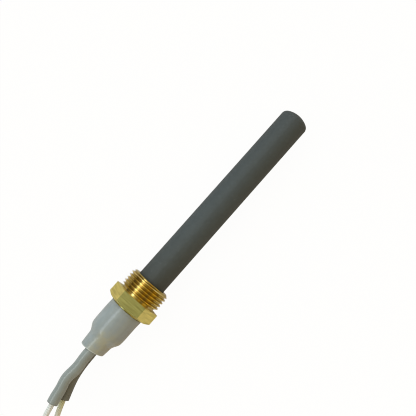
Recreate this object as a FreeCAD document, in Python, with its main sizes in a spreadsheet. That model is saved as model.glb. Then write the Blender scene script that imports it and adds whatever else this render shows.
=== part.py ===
import FreeCAD, Part
import math
import os
import Sketcher

# Flame probe: a ceramic rod held in a threaded brass fitting, with a boot and two leads.
# The probe lies along X, tip at +X, leads at -X. The origin is on the axis at the
# hexagon's sealing face and +Z is up. Leg "a" runs above the axis, leg "b" below it.
# Millimetres. Below, front means towards +X and rear towards -X.

Vector = FreeCAD.Vector
Placement = FreeCAD.Placement
Rotation = FreeCAD.Rotation
Constraint = Sketcher.Constraint

os.makedirs("parts", exist_ok=True)
doc = FreeCAD.newDocument("flame_probe")

# ---------------------------------------------------------------- dimensions
# Names ending in _front, _rear, _end, _start or _tip are mostly stations on the X axis.
SIZES = {
    # ceramic rod
    "rod_radius": 5.75,
    "rod_tip": 92.7,
    "rod_rear": -4.0,
    "rod_seat_radius": 5.55,
    "rod_seat_end": 7.93,
    "dome_radius": 9.0,
    "knuckle_radius": 2.0,
    "sheath_bore": 3.5,
    "sheath_bore_end": 87.5,
    "bore_cone": 1.2,
    # brass fitting
    "hex_flats": 17.0,
    "hex_length": 5.2,
    "hex_rim_radius": 8.35,
    "relief_radius": 7.2,
    "relief_length": 0.92,
    "relief_slope": 0.7,
    "relief_over": 0.5,
    "seal_radius": 8.4,
    "seal_recess": 0.15,
    "seal_slope": 0.5,
    "thread_face_radius": 7.35,
    "front_bore": 6.1,
    "front_chamfer": 0.2,
    "front_over": 1.0,
    "seat": -4.02,
    "rear_bore": 4.75,
    "rear_chamfer": 0.3,
    "rear_over": 0.7,
    "spigot_radius": 6.3,
    "spigot_end": -15.9,
    "nose_chamfer": 0.6,
    "grip_depth": 0.35,
    "grip_front": -8.6,
    "grip_rear": -11.8,
    "grip_flat": 1.1,
    "grip_slope": 0.45,
    # how far cutting profiles stand clear of the metal
    "cut_over": 0.1,
    "lead_over": 0.3,
    "lead_rise": 0.6,
    "rim_over": 0.2,
    "rim_rise": 2.0,
    # rim chamfer at 30 degrees to the hexagon's face
    "rim_drop": 0.346,
    "rim_run": 1.1547,
    # thread G3/8 form: 19 per inch, 55 degree flanks; the vee is in parts of the pitch
    "thread_radius": 8.331,
    "thread_pitch": 1.337,
    "thread_start": 0.8,
    "thread_end": 7.85,
    "thread_runout": 0.7,
    "vee_depth": 0.640327,
    "vee_root_half": 0.083333,
    "vee_mouth_half": 0.416667,
    "flank_slope": 0.520567,
    # cement and fillings
    "cement_outer": 6.09,
    "cement_inner": 5.56,
    "cement_front": 6.95,
    "cement_gap": 0.1,
    "fill_radius": 3.48,
    "fill_rear": 2.1,
    "fill_front": 87.4,
    "channel_radius": 1.05,
    "channel_end": 84.2,
    "cross_half_width": 0.5,
    "cross_past_leg": 0.7,
    "cross_overlap": 0.3,
    "plug_front": 2.0,
    "potting_radius": 4.73,
    "potting_front": -4.05,
    "potting_rear": -12.0,
    "grommet_front": -13.9,
    "grommet_rear": -15.7,
    "grommet_hole": 2.04,
    "web_half_width": 0.6,
    "web_half_height": 1.0,
    # heating wire and terminals
    "leg_offset": 2.05,
    "pin_radius": 0.5,
    "pin_hole": 0.52,
    "pin_front": 28.0,
    "pin_rear": -19.9,
    "coil_wire": 0.2,
    "coil_radius": 0.7,
    "coil_pitch": 2.2,
    "coil_start": 28.25,
    "coil_end": 83.8,
    "bridge_wire": 0.3,
    "bridge_start": 84.1,
    "bridge_straight": 0.9,
    "bridge_bend": 1.0,
    # splices
    "crimp_radius": 1.3,
    "crimp_front": -16.6,
    "crimp_rear": -23.2,
    "sleeve_outer": 2.02,
    "sleeve_inner": 1.5,
    "sleeve_front": -14.1,
    # boot
    "boot_radius": 6.8,
    "boot_inner": 6.34,
    "boot_front": -5.65,
    "boot_step": -17.05,
    "boot_step_end": -20.05,
    "boot_round": 1.3,
    "inner_step_shift": 0.1,
    "inner_step_end_shift": 0.25,
    "neck_radius": 4.96,
    "neck_mouth_radius": 4.52,
    "neck_inner": 4.13,
    "mouth_long": -25.35,
    "mouth_short": -24.05,
    "mouth_stock": 1.0,
    "slant_half_width": 8.0,
    "slant_shift": 0.55,
    "slant_depth": 6.0,
    # leads
    "conductor_front": -20.2,
    "insulation_front": -23.5,
    "braid_front": -24.1,
    "conductor_radius": 0.45,
    "insulation_inner": 0.47,
    "insulation_radius": 0.72,
    "braid_inner": 0.74,
    "braid_radius": 0.93,
    "stub_gap": 1.05,
    "mouth_to_flex": 1.4,
    "tail_bore_start": 0.15,
    "tail_core_start": 0.2,
    # end ferrules, 0.5 square millimetre size
    "ferrule_inner": 0.5,
    "ferrule_radius": 0.65,
    "ferrule_pin": 8.0,
    "ferrule_length": 13.5,
    "ferrule_gap": 0.05,
    "ferrule_flare": 0.84,
    "flare_short": 0.1,
    "bare_short": 0.2,
    "collar_inner": 0.95,
    "collar_radius": 1.35,
    "collar_back": 2.0,
    "collar_short": 0.05,
    "collar_step": 0.1,
    "collar_clearance": 0.02,
}
sheet = doc.addObject("Spreadsheet::Sheet", "dims")
for row, (name, value) in enumerate(SIZES.items(), 1):
    sheet.set("A%d" % row, name)
    sheet.set("B%d" % row, repr(value))
    sheet.setAlias("B%d" % row, name)
doc.recompute()

# Height of each leg above the axis.
LEG_HEIGHT = {"a": "leg_offset", "b": "-1 * leg_offset"}

PARTS = {}


def part(obj, label):
    """Registers a finished piece under the name of its file."""
    obj.Label = label
    PARTS[label] = obj


# ------------------------------------------------- expressions on the sheet
def work_out(expr):
    """A number, or a sum of signed terms that are products of numbers and size names."""
    if isinstance(expr, (int, float)):
        return float(expr)
    total = 0.0
    for term in expr.replace("- ", "+ -").split("+ "):
        term = term.strip()
        sign = 1.0
        if term.startswith("-"):
            sign, term = -1.0, term[1:].strip()
        product = 1.0
        for factor in term.split("*"):
            factor = factor.strip()
            product *= SIZES[factor] if factor in SIZES else float(factor)
        total += sign * product
    return total


def bind(obj, prop, expr):
    """Drives a property by the same expression written against the sheet."""
    words = expr.replace("*", " * ").split()
    obj.setExpression(prop, " ".join("dims." + w if w in SIZES else w for w in words))


# ------------------------------------------------------------ sketch helpers
# Sketcher's numbers for the points of an edge and for the sketch's own axes.
START, END, CENTRE = 1, 2, 3
X_AXIS, Y_AXIS = -1, -2
ORIGIN = (-1, 1)


def origin(body, role):
    return [f for f in body.Origin.OriginFeatures if f.Role == role][0]


def new_body(name):
    return doc.addObject("PartDesign::Body", name)


def new_sketch(body, name, role="XZ_Plane"):
    sketch = body.newObject("Sketcher::SketchObject", name)
    sketch.AttachmentSupport = [(origin(body, role), "")]
    sketch.MapMode = "FlatFace"
    return sketch


def cross_sketch(body, name, station):
    """Sketch across the axis at a station: its x is Y and its y is Z."""
    sketch = new_sketch(body, name, "YZ_Plane")
    sketch.AttachmentOffset = Placement(Vector(0, 0, work_out(station)), Rotation())
    bind(sketch, ".AttachmentOffset.Base.z", station)
    return sketch


def dimension(sketch, label, constraint, expr):
    """Adds a named constraint driven by the sheet."""
    sketch.renameConstraint(sketch.addConstraint(constraint), label)
    bind(sketch, "Constraints." + label, expr)


def locate(sketch, edge, point, x, y):
    """Fixes a point of an edge by its distances from the sketch's origin."""
    for kind, expr in (("DistanceX", x), ("DistanceY", y)):
        constraint = Constraint(kind, *ORIGIN, edge, point, work_out(expr))
        if isinstance(expr, str):
            label = "place_%s%d" % (kind[-1].lower(), edge)
            dimension(sketch, label, constraint, expr)
        else:
            sketch.addConstraint(constraint)


def join_loop(sketch, count):
    for i in range(count):
        sketch.addConstraint(Constraint("Coincident", i, END, (i + 1) % count, START))


def polygon(sketch, points):
    """Closed profile whose every corner is tied to the sheet."""
    corners = [Vector(work_out(x), work_out(y), 0) for x, y in points]
    for here, following in zip(corners, corners[1:] + corners[:1]):
        sketch.addGeometry(Part.LineSegment(here, following), False)
    join_loop(sketch, len(points))
    for i, (x, y) in enumerate(points):
        locate(sketch, i, START, x, y)
    return sketch


def circle(sketch, radius, y=0.0):
    """Circle centred on the sketch's vertical axis at height y."""
    size = work_out(radius)
    round_edge = Part.Circle(Vector(0, work_out(y), 0), Vector(0, 0, 1), size)
    edge = sketch.addGeometry(round_edge, False)
    dimension(sketch, "radius%d" % edge, Constraint("Radius", edge, size), radius)
    locate(sketch, edge, CENTRE, 0.0, y)


def arc(x, y, radius, first, last):
    """Arc about (x, y), angles in radians."""
    return Part.ArcOfCircle(Part.Circle(Vector(x, y, 0), Vector(0, 0, 1), radius), first, last)


def segment(x_from, y_from, x_to, y_to):
    return Part.LineSegment(Vector(x_from, y_from, 0), Vector(x_to, y_to, 0))


# ----------------------------------------------------------- feature helpers
def turn(body, name, sketch, kind="Revolution"):
    """Full turn of a profile about the X axis."""
    feature = body.newObject("PartDesign::" + kind, name)
    feature.Profile = sketch
    feature.ReferenceAxis = (origin(body, "X_Axis"), [""])
    feature.Angle = 360
    return feature


def turned_solid(body, name, points):
    """Turned solid from (station, radius) corners."""
    profile = polygon(new_sketch(body, name + "_profile"), points)
    turn(body, name, profile).Refine = True


def groove(body, name, points):
    """Turned cut from (station, radius) corners."""
    profile = polygon(new_sketch(body, name + "_profile"), points)
    turn(body, name, profile, "Groove").Refine = False


def prism(body, name, sketch, length, cut=False, backward=False, refine=True):
    """Pad or pocket from a cross sketch, towards +X unless backward."""
    feature = body.newObject("PartDesign::Pocket" if cut else "PartDesign::Pad", name)
    feature.Profile = sketch
    feature.Length = work_out(length)
    bind(feature, "Length", length)
    # A pocket runs against the sketch's normal by default.
    feature.Reversed = cut != backward
    feature.Refine = refine


def cylinder(name, radius, height, place):
    rod = doc.addObject("Part::Cylinder", name)
    bind(rod, "Radius", radius)
    bind(rod, "Height", height)
    rod.Placement = place
    return rod


def boolean(kind, name, base, tool):
    obj = doc.addObject("Part::" + kind, name)
    obj.Base = base
    obj.Tool = tool
    return obj


# ------------------------------------------------------------ ceramic sheath
def build_sheath():
    """Closed tube with a torispherical tip: a shallow dome and a tight knuckle."""
    body = new_body("sheath_body")
    sketch = new_sketch(body, "sheath_profile")
    outer, tip, rear = SIZES["rod_radius"], SIZES["rod_tip"], SIZES["rod_rear"]
    seat_radius, seat_end = SIZES["rod_seat_radius"], SIZES["rod_seat_end"]
    bore, bore_end = SIZES["sheath_bore"], SIZES["sheath_bore_end"]
    cone_end = bore_end + SIZES["bore_cone"]
    dome, knuckle = SIZES["dome_radius"], SIZES["knuckle_radius"]
    dome_x = tip - dome
    knuckle_y = outer - knuckle
    knuckle_x = dome_x + math.sqrt((dome - knuckle) ** 2 - knuckle_y**2)
    touch_angle = math.atan2(knuckle_y, knuckle_x - dome_x)
    for edge in (
        segment(rear, bore, rear, seat_radius),
        segment(seat_end, outer, knuckle_x, outer),
        arc(knuckle_x, knuckle_y, knuckle, touch_angle, math.pi / 2),
        arc(dome_x, 0, dome, 0.0, touch_angle),
        segment(tip, 0, cone_end, 0),
        segment(cone_end, 0, bore_end, bore),
        segment(bore_end, bore, rear, bore),
        segment(rear, seat_radius, seat_end, seat_radius),
        segment(seat_end, seat_radius, seat_end, outer),
    ):
        sketch.addGeometry(edge, False)
    # Edge numbers, in the order above.
    REAR, OUTER, KNUCKLE, DOME, AXIS, CONE, BORE, SEAT, STEP = range(9)
    for rule in (
        ("Coincident", REAR, END, SEAT, START),
        ("Coincident", SEAT, END, STEP, START),
        ("Coincident", STEP, END, OUTER, START),
        ("Horizontal", SEAT),
        ("Vertical", STEP),
        ("Tangent", OUTER, END, KNUCKLE, END),
        ("Tangent", KNUCKLE, START, DOME, END),
        ("Coincident", DOME, START, AXIS, START),
        ("Coincident", AXIS, END, CONE, START),
        ("Coincident", CONE, END, BORE, START),
        ("Coincident", BORE, END, REAR, START),
        ("Vertical", REAR),
        ("Horizontal", OUTER),
        ("Horizontal", BORE),
        ("PointOnObject", DOME, CENTRE, X_AXIS),
        ("PointOnObject", DOME, START, X_AXIS),
        ("PointOnObject", AXIS, END, X_AXIS),
    ):
        sketch.addConstraint(Constraint(*rule))
    for label, rule, expr in (
        ("rear", ("DistanceX", *ORIGIN, REAR, START), "rod_rear"),
        ("bore", ("DistanceY", *ORIGIN, REAR, START), "sheath_bore"),
        ("outer", ("DistanceY", *ORIGIN, OUTER, START), "rod_radius"),
        ("seat_radius", ("DistanceY", *ORIGIN, REAR, END), "rod_seat_radius"),
        ("seat_end", ("DistanceX", *ORIGIN, SEAT, END), "rod_seat_end"),
        ("tip", ("DistanceX", *ORIGIN, DOME, START), "rod_tip"),
        ("dome", ("Radius", DOME), "dome_radius"),
        ("knuckle", ("Radius", KNUCKLE), "knuckle_radius"),
        ("bore_end", ("DistanceX", *ORIGIN, CONE, END), "sheath_bore_end"),
        ("bore_cone", ("DistanceX", *ORIGIN, AXIS, END), "sheath_bore_end + bore_cone"),
    ):
        dimension(sketch, label, Constraint(*rule, work_out(expr)), expr)
    turn(body, "sheath_turn", sketch)
    part(body, "ceramic_sheath")


# ------------------------------------------------------------- brass fitting
def add_thread_blank(body):
    """Cylinder at the thread's major diameter, its outline in four quarter arcs."""
    sketch = new_sketch(body, "blank_profile", "YZ_Plane")
    radius = SIZES["thread_radius"]
    for i in range(4):
        sketch.addGeometry(arc(0, 0, radius, i * math.pi / 2, (i + 1) * math.pi / 2), False)
    join_loop(sketch, 4)
    for i in range(3):
        sketch.addConstraint(Constraint("Coincident", i, CENTRE, *ORIGIN))
    sketch.addConstraint(Constraint("Equal", 3, 0))
    for i, axis in enumerate((X_AXIS, Y_AXIS, X_AXIS, Y_AXIS)):
        sketch.addConstraint(Constraint("PointOnObject", i, START, axis))
    dimension(sketch, "major", Constraint("Radius", 0, radius), "thread_radius")
    prism(body, "thread_blank", sketch, "thread_end", refine=False)


def add_hexagon(body):
    """Hexagon behind the sealing face, one flat downwards."""
    sketch = new_sketch(body, "hex_profile", "YZ_Plane")
    corner = SIZES["hex_flats"] / math.sqrt(3)
    corners = [
        Vector(corner * math.cos(k * math.pi / 3), corner * math.sin(k * math.pi / 3), 0)
        for k in range(6)
    ]
    for k in range(6):
        sketch.addGeometry(Part.LineSegment(corners[k], corners[(k + 1) % 6]), False)
    # Construction circle through the corners.
    round_edge = Part.Circle(Vector(0, 0, 0), Vector(0, 0, 1), corner)
    guide = sketch.addGeometry(round_edge, True)
    for k in range(6):
        sketch.addConstraint(Constraint("Coincident", k, END, (k + 1) % 6, START))
        sketch.addConstraint(Constraint("PointOnObject", k, START, guide))
    for k in range(5):
        sketch.addConstraint(Constraint("Equal", k, k + 1))
    sketch.addConstraint(Constraint("Coincident", guide, CENTRE, *ORIGIN))
    sketch.addConstraint(Constraint("PointOnObject", 0, START, X_AXIS))
    across = Constraint("Diameter", guide, 2 * corner)
    dimension(sketch, "corners", across, "hex_flats * 2 / sqrt(3)")
    prism(body, "hexagon", sketch, "hex_length", backward=True, refine=False)


def cut_thread(body):
    """Right-hand helical vee, with flats of one sixth pitch at crest and root."""
    root = "thread_radius - vee_depth*thread_pitch"
    mouth = "thread_radius + cut_over"
    vee = polygon(
        new_sketch(body, "vee_profile"),
        [
            ("thread_start - vee_root_half*thread_pitch", root),
            ("thread_start + vee_root_half*thread_pitch", root),
            ("thread_start + vee_mouth_half*thread_pitch + flank_slope*cut_over", mouth),
            ("thread_start - vee_mouth_half*thread_pitch - flank_slope*cut_over", mouth),
        ],
    )
    length = "thread_end + thread_runout - thread_start"
    helix = body.newObject("PartDesign::SubtractiveHelix", "thread")
    helix.Profile = vee
    helix.ReferenceAxis = (origin(body, "X_Axis"), [""])
    helix.Mode = 0  # driven by pitch and height
    helix.Pitch = SIZES["thread_pitch"]
    bind(helix, "Pitch", "thread_pitch")
    helix.Height = work_out(length)
    bind(helix, "Height", length)
    helix.LeftHanded = False
    helix.Refine = False


def build_fitting():
    body = new_body("fitting_body")
    add_thread_blank(body)
    add_hexagon(body)
    # Spigot behind the hexagon, under the boot.
    sketch = new_sketch(body, "spigot_profile", "YZ_Plane")
    circle(sketch, "spigot_radius")
    prism(body, "spigot", sketch, "-1 * spigot_end", backward=True, refine=False)
    # Relief groove with a sloped thread start. At its foot the hexagon's face is
    # dished a little, so that a washer that clears the thread lies flat on the rest.
    groove(body, "relief", [
        ("-1 * seal_recess", "relief_radius"),
        ("relief_length", "relief_radius"),
        ("relief_length + relief_slope", "thread_radius + relief_over"),
        (0.0, "thread_radius + relief_over"),
        (0.0, "seal_radius"),
        ("-1 * seal_recess", "seal_radius - seal_slope"),
    ])
    # Lead-in chamfer at the thread's end, 45 degrees.
    groove(body, "lead_in", [
        ("thread_end + lead_over", "thread_face_radius - lead_over"),
        ("thread_end + lead_over", "thread_radius + lead_rise"),
        (
            "thread_end + thread_face_radius - thread_radius - lead_rise",
            "thread_radius + lead_rise",
        ),
    ])
    # Rear chamfer of the hexagon.
    groove(body, "hex_rim", [
        ("-1 * hex_length - rim_over", "hex_rim_radius - rim_drop"),
        ("-1 * hex_length - rim_over", "hex_rim_radius + rim_rise"),
        ("-1 * hex_length + rim_run", "hex_rim_radius + rim_rise"),
    ])
    # Bores: clearance for the rod in front, a seat, and the terminal bore behind.
    groove(body, "bores", [
        ("thread_end + front_over", 0.0),
        ("thread_end + front_over", "front_bore + front_chamfer + front_over"),
        ("thread_end", "front_bore + front_chamfer"),
        ("thread_end - front_chamfer", "front_bore"),
        ("seat", "front_bore"),
        ("seat", "rear_bore"),
        ("spigot_end + rear_chamfer", "rear_bore"),
        ("spigot_end - rear_over", "rear_bore + rear_chamfer + rear_over"),
        ("spigot_end - rear_over", 0.0),
    ])
    # Two grip grooves, sloped at their front, and a tapered nose on the spigot.
    for n, start in enumerate(("grip_front", "grip_rear")):
        groove(body, "grip%d" % n, [
            (start, "spigot_radius - grip_depth"),
            (start + " + grip_flat", "spigot_radius - grip_depth"),
            (start + " + grip_flat + grip_slope", "spigot_radius + cut_over"),
            (start, "spigot_radius + cut_over"),
        ])
    groove(body, "nose", [
        ("spigot_end - cut_over", "spigot_radius - nose_chamfer - cut_over"),
        ("spigot_end + nose_chamfer + cut_over", "spigot_radius + cut_over"),
        ("spigot_end - cut_over", "spigot_radius + cut_over"),
    ])
    cut_thread(body)
    part(body, "brass_fitting")


# ------------------------------------------------------- cement and fillings
def build_cement():
    """Ring between the rod's seat and the fitting's front bore."""
    body = new_body("front_cement_ring_body")
    turned_solid(body, "front_cement_ring_turn", [
        ("rod_rear + cement_gap", "cement_inner"),
        ("cement_front", "cement_inner"),
        ("cement_front", "cement_outer"),
        ("rod_rear + cement_gap", "cement_outer"),
    ])
    part(body, "front_cement_ring")


def build_disc(label, rear, front, circles):
    """Prism between two stations; circles are (radius, height), outline first."""
    body = new_body(label + "_body")
    sketch = cross_sketch(body, label + "_round", rear)
    for radius, height in circles:
        circle(sketch, radius, height)
    prism(body, label + "_disc", sketch, "%s - %s" % (front, rear))
    part(body, label)


def build_slotted_plug(label, rear, front, radius, hole, hole_front,
                       slot_rear, slot_length, half_width, bottom, top):
    """Round plug with a hole for each leg and an upright slot that joins them."""
    body = new_body(label + "_body")
    sketch = cross_sketch(body, label + "_round", rear)
    circle(sketch, radius)
    prism(body, label + "_disc", sketch, "%s - %s" % (front, rear))
    for n, height in enumerate(LEG_HEIGHT.values()):
        sketch = cross_sketch(body, label + "_hole%d" % n, rear)
        circle(sketch, hole, height)
        prism(body, label + "_cut%d" % n, sketch, "%s - %s" % (hole_front, rear), cut=True)
    sketch = cross_sketch(body, label + "_slot", slot_rear)
    left, right = "-1 * " + half_width, half_width
    polygon(sketch, [(left, bottom), (right, bottom), (right, top), (left, top)])
    prism(body, label + "_web", sketch, slot_length, cut=True)
    part(body, label)


def build_fillings():
    pin_holes = [("pin_hole", height) for height in LEG_HEIGHT.values()]
    build_disc("end_plug", "rod_rear", "plug_front", [("fill_radius", 0.0)] + pin_holes)
    build_disc("rear_potting", "potting_rear", "potting_front",
               [("potting_radius", 0.0)] + pin_holes)
    build_slotted_plug(
        "silicone_plug",
        rear="grommet_rear",
        front="grommet_front",
        radius="potting_radius",
        hole="grommet_hole",
        hole_front="grommet_front",
        slot_rear="grommet_rear",
        slot_length="grommet_front - grommet_rear",
        half_width="web_half_width",
        bottom="-1 * web_half_height",
        top="web_half_height",
    )
    # Packed powder, with a channel for each leg and a cross slot at the bend.
    build_slotted_plug(
        "powder_fill",
        rear="fill_rear",
        front="fill_front",
        radius="fill_radius",
        hole="channel_radius",
        hole_front="channel_end",
        slot_rear="channel_end - cross_overlap",
        slot_length="fill_front - channel_end - cross_overlap",
        half_width="cross_half_width",
        bottom="-1 * leg_offset - cross_past_leg",
        top="leg_offset + cross_past_leg",
    )


# ---------------------------------------------------- heating wire and pins
def build_pin(side):
    height = LEG_HEIGHT[side]
    place = Placement(
        Vector(SIZES["pin_rear"], 0, work_out(height)), Rotation(Vector(0, 1, 0), 90)
    )
    rod = cylinder("pin_" + side, "pin_radius", "pin_front - pin_rear", place)
    bind(rod, ".Placement.Base.x", "pin_rear")
    bind(rod, ".Placement.Base.z", height)
    part(rod, "terminal_pin_" + side)


def build_coil(side):
    """Coiled leg of the hairpin."""
    path = doc.addObject("Part::Helix", "coil_path_" + side)
    bind(path, "Radius", "coil_radius")
    bind(path, "Pitch", "coil_pitch")
    bind(path, "Height", "coil_end - coil_start - 2 * coil_wire")
    path.Angle = 0
    path.SegmentLength = 1.0
    path.Placement = Placement(
        Vector(work_out("coil_start + coil_wire"), 0, work_out(LEG_HEIGHT[side])),
        Rotation(Vector(0, 1, 0), 90),
    )
    # The wire's section stands square to the helix at its start.
    section = doc.addObject("Part::Circle", "coil_section_" + side)
    bind(section, "Radius", "coil_wire")
    climb = math.atan2(SIZES["coil_pitch"], 2 * math.pi * SIZES["coil_radius"])
    heading = Vector(0, math.cos(climb), math.sin(climb))
    local = Placement(Vector(SIZES["coil_radius"], 0, 0), Rotation(Vector(0, 0, 1), heading))
    section.Placement = path.Placement.multiply(local)
    coil = doc.addObject("Part::Sweep", "coil_" + side)
    coil.Sections = [section]
    coil.Spine = (path, [])
    coil.Solid = True
    coil.Frenet = True
    part(coil, "element_coil_" + side)


def build_bridge():
    """U-bend joining the two legs at the tip end."""
    body = new_body("bridge_body")
    path = new_sketch(body, "bridge_path")
    offset, bend = SIZES["leg_offset"], SIZES["bridge_bend"]
    start = SIZES["bridge_start"]
    reach = start + SIZES["bridge_straight"]
    for edge in (
        segment(start, offset, reach, offset),
        arc(reach, offset - bend, bend, 0, math.pi / 2),
        segment(reach + bend, offset - bend, reach + bend, -offset + bend),
        arc(reach, -offset + bend, bend, -math.pi / 2, 0),
        segment(reach, -offset, start, -offset),
    ):
        path.addGeometry(edge, False)
    # Edge numbers, in the order above.
    UPPER, UPPER_BEND, CROSS, LOWER_BEND, LOWER = range(5)
    for rule in (
        ("Tangent", UPPER, END, UPPER_BEND, END),
        ("Tangent", UPPER_BEND, START, CROSS, START),
        ("Tangent", CROSS, END, LOWER_BEND, END),
        ("Tangent", LOWER_BEND, START, LOWER, START),
        ("Horizontal", UPPER),
        ("Vertical", CROSS),
        ("Horizontal", LOWER),
        ("Equal", UPPER_BEND, LOWER_BEND),
        ("Equal", UPPER, LOWER),
    ):
        path.addConstraint(Constraint(*rule))
    for label, rule, expr in (
        ("bend", ("Radius", UPPER_BEND), "bridge_bend"),
        ("start", ("DistanceX", *ORIGIN, UPPER, START), "bridge_start"),
        ("above", ("DistanceY", *ORIGIN, UPPER, START), "leg_offset"),
        ("below", ("DistanceY", *ORIGIN, LOWER, END), "-1 * leg_offset"),
        ("reach", ("DistanceX", *ORIGIN, UPPER, END), "bridge_start + bridge_straight"),
    ):
        dimension(path, label, Constraint(*rule, work_out(expr)), expr)
    section = cross_sketch(body, "bridge_section", "bridge_start")
    circle(section, "bridge_wire", "leg_offset")
    pipe = body.newObject("PartDesign::AdditivePipe", "bridge_wire_pipe")
    pipe.Profile = section
    pipe.Spine = (path, [])
    part(body, "element_bridge")


# ----------------------------------------------------------------- the boot
def build_boot():
    body = new_body("boot_body")
    turned_solid(body, "boot_turn", [
        ("boot_front", "boot_inner"),
        ("boot_front", "boot_radius"),
        ("boot_step", "boot_radius"),
        ("boot_step_end", "neck_radius"),
        ("mouth_long - mouth_stock", "neck_mouth_radius"),
        ("mouth_long - mouth_stock", "neck_inner"),
        ("boot_step_end + inner_step_end_shift", "neck_inner"),
        ("boot_step + inner_step_shift", "boot_inner"),
    ])
    # The edges can only be picked once the turned shape exists.
    doc.recompute()
    # Soft shoulder: the outer corner circles at both ends of the step are rounded.
    corners = [
        (SIZES["boot_step"], SIZES["boot_radius"]),
        (SIZES["boot_step_end"], SIZES["neck_radius"]),
    ]
    turned = body.Tip
    names = set()
    for n, edge in enumerate(turned.Shape.Edges, 1):
        curve = edge.Curve
        if curve.TypeId != "Part::GeomCircle":
            continue
        for x, radius in corners:
            if abs(curve.Center.x - x) < 0.01 and abs(curve.Radius - radius) < 0.01:
                names.add("Edge%d" % n)
    fillet = body.newObject("PartDesign::Fillet", "boot_shoulder")
    fillet.Base = (turned, sorted(names))
    fillet.Radius = SIZES["boot_round"]
    bind(fillet, "Radius", "boot_round")
    # The mouth is trimmed at a slant, longer on the +Y side.
    sketch = new_sketch(body, "mouth_cut", "XY_Plane")
    polygon(sketch, [
        ("mouth_long - slant_shift", "slant_half_width"),
        ("mouth_long - slant_depth", "slant_half_width"),
        ("mouth_long - slant_depth", "-1 * slant_half_width"),
        ("mouth_short + slant_shift", "-1 * slant_half_width"),
    ])
    slant = body.newObject("PartDesign::Pocket", "mouth_slant")
    slant.Profile = sketch
    slant.Type = 1  # through all
    slant.Midplane = True
    part(body, "boot")


# -------------------------------------------------------- sleeves and leads
# Centre lines in plan, (x, y), from front to rear.
PATHS = {
    "a": [
        (-12, 0), (-15, 0), (-18, 0), (-21, 0),
        (-24.35, 0.02), (-27.05, 0.12), (-29.55, -0.03), (-32.45, -0.29),
        (-34.85, -0.19), (-37.55, 0.03), (-39.45, -0.22), (-41.55, -0.8),
        (-44.95, -1.46), (-47.65, -2.05), (-50.85, -2.98), (-53.35, -3.9),
    ],
    "b": [
        (-12, 0), (-15, 0), (-18, 0), (-21, 0),
        (-23.75, -0.11), (-26.05, -0.34), (-28.65, -0.42), (-31.65, -0.53),
        (-34.45, -0.9), (-38.25, -1.67), (-41.95, -2.77), (-45.4, -4.05),
        (-48.55, -5.27), (-51.55, -6.46),
    ],
}
# Station of each splice sleeve's rear mouth.
SLEEVE_MOUTH = {"a": -48.0, "b": -45.5}
# Free ends: (x, y) of each tail in plan from its flex point, heading along -x.
TAILS = {
    "a": [(0, 0), (-14, -0.6), (-30, -3.6), (-46, -5.0), (-62, -4.6)],
    "b": [(0, 0), (-14, -1.0), (-30, -4.6), (-46, -9.2), (-62, -13.4)],
}


def smooth_line(points):
    line = Part.BSplineCurve()
    line.interpolate([Vector(x, y, 0) for x, y in points])
    return line


def last_where(line, start, holds):
    """Parameter past start at which a condition stops holding, by bisection."""
    low, high = start, line.LastParameter
    for _ in range(60):
        middle = (low + high) / 2
        if holds(middle):
            low = middle
        else:
            high = middle
    return (low + high) / 2


def at_station(line, x):
    """Parameter where the centre line crosses a station."""
    return last_where(line, line.FirstParameter, lambda u: line.value(u).x > x)


def along(line, start, length):
    """Parameter a given length further along the centre line."""
    return last_where(line, start, lambda u: line.length(start, u) < length)


def tangent(line, parameter):
    direction = Vector(line.tangent(parameter)[0])
    direction.normalize()
    return direction


def bar(name, line, first, last, radius, frame):
    """Round bar along a stretch of a centre line drawn in the frame's XY plane."""
    stretch = line.copy()
    stretch.segment(first, last)
    spine = doc.addObject("Sketcher::SketchObject", name + "_path")
    spine.addGeometry(stretch, False)
    spine.Placement = frame
    begin = stretch.FirstParameter
    square = Rotation(Vector(0, 0, 1), tangent(stretch, begin))
    ring = doc.addObject("Part::Circle", name + "_ring")
    bind(ring, "Radius", radius)
    ring.Placement = frame.multiply(Placement(stretch.value(begin), square))
    swept = doc.addObject("Part::Sweep", name + "_bar")
    swept.Sections = [ring]
    swept.Spine = (spine, [])
    swept.Solid = True
    swept.Frenet = False
    return swept


def hose(name, line, first, last, outer, inner, frame):
    """Round tube along a stretch of a centre line."""
    outside = bar(name + "_out", line, first, last, outer, frame)
    inside = bar(name + "_in", line, first, last, inner, frame)
    return boolean("Cut", name + "_cut", outside, inside)


def build_splice_and_stub(side, line, mouth, frame):
    """Splice sleeve, butt crimp, and the fixed stretch of the lead."""
    front = at_station(line, SIZES["sleeve_front"])
    sleeve = hose("sleeve_" + side, line, front, mouth, "sleeve_outer", "sleeve_inner", frame)
    part(sleeve, "splice_sleeve_" + side)
    # Butt crimp, pin in front and conductor behind.
    height = LEG_HEIGHT[side]
    build_disc("crimp_" + side, "crimp_rear", "crimp_front",
               [("crimp_radius", height), ("pin_hole", height)])
    # The lead stops just short of the flex point.
    stub = along(line, mouth, work_out("mouth_to_flex - stub_gap"))
    front = at_station(line, SIZES["conductor_front"])
    conductor = bar("cond_" + side, line, front, stub, "conductor_radius", frame)
    part(conductor, "lead_%s_conductor" % side)
    for short, layer in (("ins", "insulation"), ("braid", "braid")):
        front = at_station(line, SIZES[layer + "_front"])
        cover = hose("%s_%s" % (short, side), line, front, stub,
                     layer + "_radius", layer + "_inner", frame)
        part(cover, "lead_%s_%s" % (side, layer))


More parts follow.
